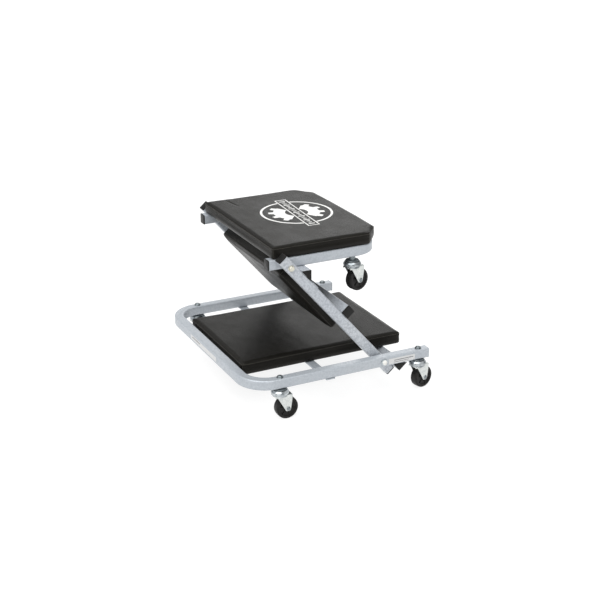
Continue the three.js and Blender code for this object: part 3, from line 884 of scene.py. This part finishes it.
def soft_pad(name, pad):
    """One upholstered pad: simulated cover with a pocket below for its board."""
    scene = bpy.context.scene
    mesh = pad_start_mesh(pad)
    obj = bpy.data.objects.new(name + "_cover", mesh)
    scene.collection.objects.link(obj)
    apply_modifier(obj, "REMESH", mode="VOXEL", voxel_size=COVER_VOXEL)
    low, high = pad["z"][0] * MM, pad["z"][1] * MM
    simulate(obj, lambda co: co.z < low + 1.5 * MM, 4.0, pad["swell"] * MM, scene)
    relax_cover(obj.data, pad)
    apply_modifier(obj, "SUBSURF", levels=1)
    for vertex in obj.data.vertices:
        co = vertex.co
        crumple = noise.noise(Vector((co.x * 60, co.y * 22, co.z * 60 + pad["half"])))
        shift = 0.2 * MM * crumple * min(1.0, max(0.0, (co.z - low) / (8 * MM)))
        co.z += shift
        if pad["clip"] and co.z > high - 6 * MM:
            co.z -= 1.3 * MM * crease_depth(co.xy)
    pocket = board_pocket(pad)
    apply_modifier(obj, "BOOLEAN", operation="DIFFERENCE", object=pocket, solver="EXACT")
    bpy.data.objects.remove(pocket)
    return obj


def crease_depth(point):
    """1 on the crease across the seat pad's corner, falling to 0 a few millimetres from it."""
    start, end = CREASE
    along = max(0.0, min(1.0, (point - start).dot(end - start) / (end - start).length_squared))
    distance = (point - start.lerp(end, along)).length
    return math.exp(-((distance / (2.6 * MM)) ** 2)) * math.sin(math.pi * (0.08 + 0.84 * along))


def relax_cover(mesh, pad):
    """Tucks the sides in under the top seam, lets them flare at the bottom, and flattens that."""
    low, high = pad["z"][0] * MM, pad["z"][1] * MM
    x0, x1 = pad["x"][0] * MM, pad["x"][1] * MM
    half = pad["half"] * MM
    for vertex in mesh.vertices:
        co = vertex.co
        up = max(0.0, min(1.0, (co.z - low) / (high - low)))
        tuck = 2.0 * MM * math.exp(-(((up - 0.56) / 0.16) ** 2))
        flare = 1.2 * MM * math.exp(-(((up - 0.12) / 0.22) ** 2))
        waist = tuck - flare
        along_x = 0.45 + 0.55 * math.sin(math.pi * max(0.0, min(1.0, (co.x - x0) / (x1 - x0))))
        along_y = 0.45 + 0.55 * math.cos(0.5 * math.pi * co.y / half)
        near_side = max(0.0, abs(co.y) - half + 14 * MM) / (14 * MM)
        near_end = max(0.0, abs(co.x - (x0 + x1) / 2) - (x1 - x0) / 2 + 14 * MM) / (14 * MM)
        co.y -= math.copysign(min(1.0, near_side) * waist * along_x, co.y)
        co.x -= math.copysign(min(1.0, near_end) * waist * along_y, co.x - (x0 + x1) / 2)
        co.z = max(co.z, low)


def board_pocket(pad):
    low = pad["z"][0]
    outline = pad_outline(pad, BOARD_INSET / MM - 0.3, 3)
    levels = (low - 6, low + BOARD_THICK / MM + 0.4)
    rings = [[(p.x * MM, p.y * MM, z * MM) for p in outline] for z in levels]
    obj = bpy.data.objects.new("pocket", mesh_from(*lofted(rings)))
    bpy.context.scene.collection.objects.link(obj)
    return obj


def tube_along(points, radius, sides=6, closed=True):
    """A thin round cord through a loop of points."""
    count = len(points)
    rings = []
    for i, point in enumerate(points):
        before = points[i - 1] if closed or i else points[0]
        after = points[(i + 1) % count] if closed or i < count - 1 else points[-1]
        along = (after - before).normalized()
        side = along.cross(Vector((0, 0, 1)))
        if side.length < 0.1:
            side = along.cross(Vector((1, 0, 0)))
        side.normalize()
        up = side.cross(along).normalized()
        ring = []
        for j in range(sides):
            a = math.tau * j / sides
            ring.append(point + side * (radius * math.cos(a)) + up * (radius * math.sin(a)))
        rings.append(ring)
    return mesh_from(*lofted(rings, closed))


def resampled(points, spacing):
    """The closed loop again, with evenly spaced points."""
    out = []
    for i, point in enumerate(points):
        following = points[(i + 1) % len(points)]
        steps = max(1, round((following - point).length / spacing))
        out += [point.lerp(following, j / steps) for j in range(steps)]
    return out


def seam_ridges(pad, tree):
    """Raised seams: the loop round the pad's top edge, and one down each corner."""
    high = pad["z"][1] * MM
    low = pad["z"][0] * MM
    loop = [Vector((p.x * MM, p.y * MM, high - SEAM_DROP)) for p in pad_outline(pad, -1.0)]
    ridge = []
    for point in resampled(loop, 5 * MM):
        found, normal, _, _ = tree.find_nearest(point)
        ridge.append(found + normal * 0.35 * MM)
    for _ in range(2):
        following = ridge[1:] + ridge[:1]
        ridge = [(ridge[i - 1] + here * 2 + following[i]) / 4 for i, here in enumerate(ridge)]
    meshes = [tube_along(ridge, 1.0 * MM)]
    x0, x1 = pad["x"][0] * MM, pad["x"][1] * MM
    half = pad["half"] * MM
    if pad["clip"]:
        run, rise = (v * MM for v in pad["clip"])
        front = [(x1 - run, -half), (x1 - run, half), (x1, -half + rise), (x1, half - rise)]
    else:
        front = [(x1, -half), (x1, half)]
    corners = [(x0, -half), (x0, half), *front]
    for x, y in corners:
        seam = []
        for i in range(8):
            z = low + 3 * MM + (high - low - 5 * MM) * i / 7
            outside = Vector((x, y, z))
            found, normal, _, _ = tree.find_nearest(outside)
            seam.append(found + normal * 0.1 * MM)
        meshes.append(tube_along(seam, 0.8 * MM, 6, False))
    return joined(meshes)


def staple_mesh(x, y, z, angle):
    """One wire staple, its crown just below the cover."""
    turn = Matrix.Translation((x, y, z)) @ Matrix.Rotation(angle, 4, "Z")
    half_wire = [(-5.5, 0, 1.5), (-5.5, 0, -0.2), (-5.1, 0, -0.55)]
    wire = half_wire + [(-x, y, z) for x, y, z in reversed(half_wire)]
    points = [Vector(p) * MM for p in wire]
    mesh = tube_along(points, 0.45 * MM, 6, False)
    mesh.transform(turn)
    return mesh


def staples(pad):
    """A row of staples round the underside of the board."""
    loop = [Vector((p.x * MM, p.y * MM, 0)) for p in pad_outline(pad, 20)]
    spaced = resampled(loop, 11 * MM)[::4]
    meshes = []
    for i, point in enumerate(spaced):
        following = spaced[(i + 1) % len(spaced)]
        heading = math.atan2(following.y - point.y, following.x - point.x)
        askew = heading + 0.2 * math.sin(i * 2.3)
        meshes.append(staple_mesh(point.x, point.y, pad["z"][0] * MM, askew))
    return joined(meshes)


def build_pads():
    trees = {}
    for name, pad in PADS.items():
        body = PAD_BODY[name]
        cover = soft_pad(name, pad)
        mesh = cover.data
        bpy.data.objects.remove(cover)
        bm = bmesh.new()
        bm.from_mesh(mesh)
        tree = BVHTree.FromBMesh(bm)
        bm.free()
        trees[name] = tree
        ridges = seam_ridges(pad, tree)
        tacks = staples(pad)
        for made in (mesh, ridges, tacks):
            made.transform(PLACE[body])
        cushion = add_piece(name + "_cover", mesh, VINYL, body, 50, (name + "_cushion",))
        # The seams wear the lightened vinyl: a painted highlight line along each seam
        add_piece(name + "_seams", ridges, VINYL_SEAM, body, 80)
        add_piece(name + "_staples", tacks, ZINC, body, 60)
        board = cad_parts[name + "_board"]
        board.data.materials.clear()
        board.data.materials.append(BOARD)
    return trees


# ---------------------------------------------------------------- emblem and labels


def polar(radius, degrees):
    angle = math.radians(degrees)
    return Vector((radius * math.cos(angle), radius * math.sin(angle)))


def strip(first, second, rows=6):
    """A sheet between two lines of equally many points, as rows of quads."""
    grid = [[a.lerp(b, i / rows) for a, b in zip(first, second)] for i in range(rows + 1)]
    count = len(first)
    faces = []
    for i in range(rows):
        for j in range(count - 1):
            a = i * count + j
            faces.append((a, a + 1, a + count + 1, a + count))
    return [p for row in grid for p in row], faces


def ring_strip(inner, outer, start, end, step=3):
    """Part of a flat ring, between two angles."""
    steps = round((end - start) / step)
    angles = [start + (end - start) * i / steps for i in range(steps + 1)]
    return strip([polar(inner, a) for a in angles], [polar(outer, a) for a in angles], 2)


def gear_strip(start, end):
    """Part of a toothed wheel: a tooth every 30 degrees, between two angles."""
    rim, hub = [], []
    for i in range(round((end - start) / 1.5) + 1):
        a = start + 1.5 * i
        tooth = min(1.0, max(0.0, (abs((a % 30) - 15) - 5) / 2.5))
        rim.append(polar(73 - 13 * tooth, a))
        hub.append(polar(30, a))
    return strip(hub, rim)


def bar_strip(x0, x1, y0, y1):
    """A flat rectangle."""
    steps = max(2, round((x1 - x0) / 5))
    xs = [x0 + (x1 - x0) * i / steps for i in range(steps + 1)]
    rows = max(1, round((y1 - y0) / 5))
    return strip([Vector((x, y0)) for x in xs], [Vector((x, y1)) for x in xs], rows)


def emblem_strips():
    """A plain workshop emblem: a ring, a toothed wheel, and a ruled bar across both."""
    strips = [ring_strip(88, 94, 11, 169), ring_strip(88, 94, 191, 349)]
    strips += [gear_strip(34, 146), gear_strip(214, 326)]
    strips += [bar_strip(-114, 114, 13, 16), bar_strip(-114, 114, -16, -13)]
    strips += [bar_strip(-114, -111, -13, 13), bar_strip(111, 114, -13, 13)]
    for i in range(-9, 10):
        reach = 8.5 if i % 3 == 0 else 4.5
        strips.append(bar_strip(i * 11 - 2.2, i * 11 + 2.2, -reach, reach))
    return strips


def build_emblem(tree):
    """The emblem's flat shapes laid on the pad, each point following the cover's surface."""
    place = Matrix.Translation(EMBLEM_PLACE) @ Matrix.Rotation(EMBLEM_TURN, 4, "Z")
    verts, faces = [], []
    for points, quads in emblem_strips():
        offset = len(verts)
        faces += [tuple(index + offset for index in quad) for quad in quads]
        for point in points:
            flat = place @ Vector((point.x * MM, point.y * MM, 0))
            found, _, _, _ = tree.ray_cast(Vector((flat.x, flat.y, 0.2)), Vector((0, 0, -1)))
            verts.append((flat.x, flat.y, found.z + 0.15 * MM))
    add_piece("seat_emblem", mesh_from(verts, faces, PLACE["seat"]), PRINT, "seat", 80)


def label_mesh(width, height, thick, corner):
    """A thin label in the XZ plane, its face towards -Y, with rounded corners."""
    points = []
    for cx, cz, start in ((1, 1, 0), (-1, 1, 90), (-1, -1, 180), (1, -1, 270)):
        centre = (cx * (width / 2 - corner), cz * (height / 2 - corner))
        points += rounded_corner(centre, corner, start, start + 90, 4)
    rings = [[(p[0], y, p[1]) for p in points] for y in (0.0, -thick)]
    return mesh_from(*lofted(rings))


def build_labels():
    """Two blank labels, each with a plain printed band."""
    side_face = PLACE["base"] @ Matrix.Translation((422 * MM, -BASE["half"] - 0.05 * MM, -1.6 * MM))
    side = label_mesh(76 * MM, 14.5 * MM, 0.25 * MM, 1 * MM)
    side.transform(side_face)
    add_piece("side_label", side, LABEL, "base", 60)
    rear_turn = Matrix.Rotation(-math.pi / 2, 4, "Z")
    rear_face = PLACE["base"] @ Matrix.Translation((-0.05 * MM, 10 * MM, 0.5 * MM)) @ rear_turn
    rear = label_mesh(168 * MM, 12 * MM, 0.25 * MM, 1 * MM)
    rear.transform(rear_face)
    add_piece("rear_label", rear, LABEL, "base", 60)
    for name, place, shift, width, height in (
        ("side_label_band", side_face, (5 * MM, 1.5 * MM), 56 * MM, 2.2 * MM),
        ("side_label_line", side_face, (-2 * MM, -3.4 * MM), 44 * MM, 1.4 * MM),
        ("rear_label_band", rear_face, (-48 * MM, 1.5 * MM), 52 * MM, 2.6 * MM),
    ):
        band = label_mesh(width, height, 0.2 * MM, 0.5 * MM)
        band.transform(place @ Matrix.Translation((shift[0], -0.2 * MM, shift[1])))
        add_piece(name, band, LABEL_BAND, "base", 60)


# ---------------------------------------------------------------- stage, light and camera


def build_stage():
    floor = mesh_from([(-40, -40, 0), (40, -40, 0), (40, 40, 0), (-40, 40, 0)], [(0, 1, 2, 3)])
    obj = bpy.data.objects.new("floor", floor)
    bpy.context.scene.collection.objects.link(obj)
    n = Nodes("floor_pale")
    faint = n.noise(3, 2.0)
    colour = n.ramp(faint, [(0.3, (0.17, 0.17, 0.17)), (0.7, (0.19, 0.19, 0.19))])
    rough = n.ramp(faint, [(0.3, 0.7), (0.7, 0.75)])
    glow = {"Emission_Color": (1.0, 1.0, 1.0, 1.0), "Emission_Strength": 0.86}
    floor.materials.append(n.finish(colour, rough, None, **glow))


def area_light(name, place, target, size, power):
    light = bpy.data.lights.new(name, "AREA")
    light.shape = "DISK"
    light.size = size
    light.energy = power
    obj = bpy.data.objects.new(name, light)
    obj.location = place
    obj.rotation_euler = (Vector(target) - Vector(place)).to_track_quat("-Z", "Y").to_euler()
    bpy.context.scene.collection.objects.link(obj)


def build_light():
    world = bpy.data.worlds.new("studio")
    world.use_nodes = True
    background = world.node_tree.nodes["Background"]
    background.inputs["Color"].default_value = (1.0, 1.0, 1.0, 1.0)
    background.inputs["Strength"].default_value = 0.52
    bpy.context.scene.world = world
    sun = bpy.data.lights.new("overhead", "SUN")
    sun.energy = 2.9
    sun.angle = math.radians(70)
    obj = bpy.data.objects.new("overhead", sun)
    obj.rotation_euler = Vector((-0.35, -0.25, 1)).to_track_quat("Z", "Y").to_euler()
    bpy.context.scene.collection.objects.link(obj)
    area_light("back", (2.3, 3.3, 2.0), (0, 0, 0.3), 2.6, 19)


def build_camera():
    data = bpy.data.cameras.new("camera")
    data.lens = CAMERA_LENS
    data.sensor_width = 36
    camera = bpy.data.objects.new("camera", data)
    camera.location = CAMERA_PLACE
    aim = Vector(CAMERA_TARGET) - Vector(camera.location)
    camera.rotation_euler = aim.to_track_quat("-Z", "Y").to_euler()
    bpy.context.scene.collection.objects.link(camera)
    bpy.context.scene.camera = camera


build_camera()
build_light()
build_stage()
build_frames()
build_welds()
build_pivots()
build_casters()
pad_trees = build_pads()
build_emblem(pad_trees["seat_pad"])
build_labels()
bpy.context.scene.view_settings.view_transform = "Standard"
